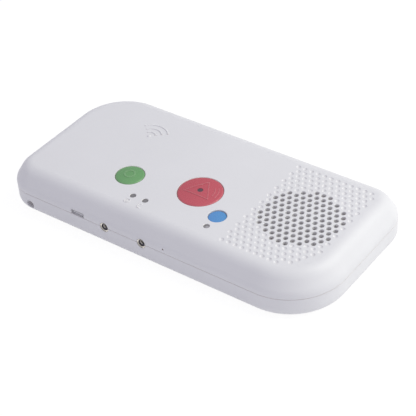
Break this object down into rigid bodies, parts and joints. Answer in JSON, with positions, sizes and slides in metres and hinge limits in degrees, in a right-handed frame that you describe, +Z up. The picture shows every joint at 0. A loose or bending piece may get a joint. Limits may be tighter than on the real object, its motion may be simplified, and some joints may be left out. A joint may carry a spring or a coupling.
{
  "type": "nurse call terminal",
  "caption": "Low rounded table terminal for calling a nurse: coloured push buttons, indicator lights and a speaker grille on top, sockets in one long side.",
  "frame": {"origin": "on the surface that the rubber feet stand on, under the middle of the case", "axes": "+X along the case towards the grille end, -Y towards the long side with the sockets, +Z up"},
  "size_m": [0.176, 0.085, 0.0248],
  "materials": {
    "case_plastic": "satin white moulded ABS",
    "screw_steel": "zinc plated steel",
    "foot_rubber": "soft dark grey rubber",
    "black_rubber": "black silicone rubber",
    "call_red": "semi-gloss red cap",
    "cancel_green": "semi-gloss green cap",
    "assist_blue": "semi-gloss blue cap",
    "black_plastic": "black moulded resin",
    "plunger_plastic": "beige switch plunger",
    "lamp_epoxy": "diffused lamp epoxy",
    "lens_acrylic": "frosted light guide acrylic",
    "smoked_acrylic": "dark smoked acrylic",
    "jack_resin": "dark grey moulded resin",
    "inlet_steel": "satin nickel sheet",
    "tongue_resin": "grey moulded resin",
    "led_resin": "small light source",
    "board_laminate": "green solder mask",
    "plated_metal": "bright nickel plating",
    "black_foam": "black foam",
    "speaker_steel": "plated pressed steel",
    "speaker_paper": "black pressed paper",
    "connector_plastic": "natural nylon",
    "wire_insulation": "insulated wire",
    "battery_film": "silver pouch film",
    "can_aluminium": "drawn aluminium can"
  },
  "bodies": {
    "terminal": {"top_cover": "case_plastic", "bottom_cover": "case_plastic", "case_screws": "screw_steel", "board_screws": "screw_steel", "speaker_screws": "screw_steel", "rubber_feet": "foot_rubber", "microphone_boot": "black_rubber", "call_switch_bodies": "black_plastic", "cancel_switch_body": "black_plastic", "assist_switch_body": "black_plastic", "call_lamp": "lamp_epoxy", "call_lamp_spacer": "black_plastic", "power_light_guide": "lens_acrylic", "line_light_guide": "lens_acrylic", "assist_light_guide": "lens_acrylic", "status_leds": "led_resin", "main_board": "board_laminate", "left_jack_body": "jack_resin", "right_jack_body": "jack_resin", "left_jack_ring": "plated_metal", "right_jack_ring": "plated_metal", "jack_contacts": "plated_metal", "usb_shell": "inlet_steel", "usb_tongue": "tongue_resin", "microphone": "plated_metal", "speaker_gasket": "black_foam", "speaker_frame": "speaker_steel", "speaker_magnet": "speaker_steel", "speaker_cone": "speaker_paper", "speaker_dust_cap": "speaker_paper", "speaker_terminal_strip": "board_laminate", "speaker_connector": "connector_plastic", "speaker_lead": "wire_insulation", "backup_battery": "battery_film", "battery_pad": "black_foam", "battery_connector": "connector_plastic", "battery_lead": "wire_insulation", "radio_module": "board_laminate", "radio_shield": "plated_metal", "processor": "black_plastic", "amplifier": "black_plastic", "crystal": "plated_metal", "capacitors": "can_aluminium"},
    "call_button": {"call_cap": "call_red", "call_lens": "smoked_acrylic", "call_switch_plungers": "plunger_plastic"},
    "cancel_button": {"cancel_cap": "cancel_green", "cancel_switch_plunger": "plunger_plastic"},
    "assist_button": {"assist_cap": "assist_blue", "assist_switch_plunger": "plunger_plastic"}
  },
  "joints": [
    {"name": "call_press", "type": "slide", "parent": "terminal", "child": "call_button", "axis": [0, 0, -1], "range_m": [0, 0.0005], "stiffness_N_per_m": 3000, "springref_m": -0.0002},
    {"name": "cancel_press", "type": "slide", "parent": "terminal", "child": "cancel_button", "axis": [0, 0, -1], "range_m": [0, 0.0005], "stiffness_N_per_m": 3000, "springref_m": -0.0002},
    {"name": "assist_press", "type": "slide", "parent": "terminal", "child": "assist_button", "axis": [0, 0, -1], "range_m": [0, 0.0005], "stiffness_N_per_m": 3000, "springref_m": -0.0002}
  ]
}
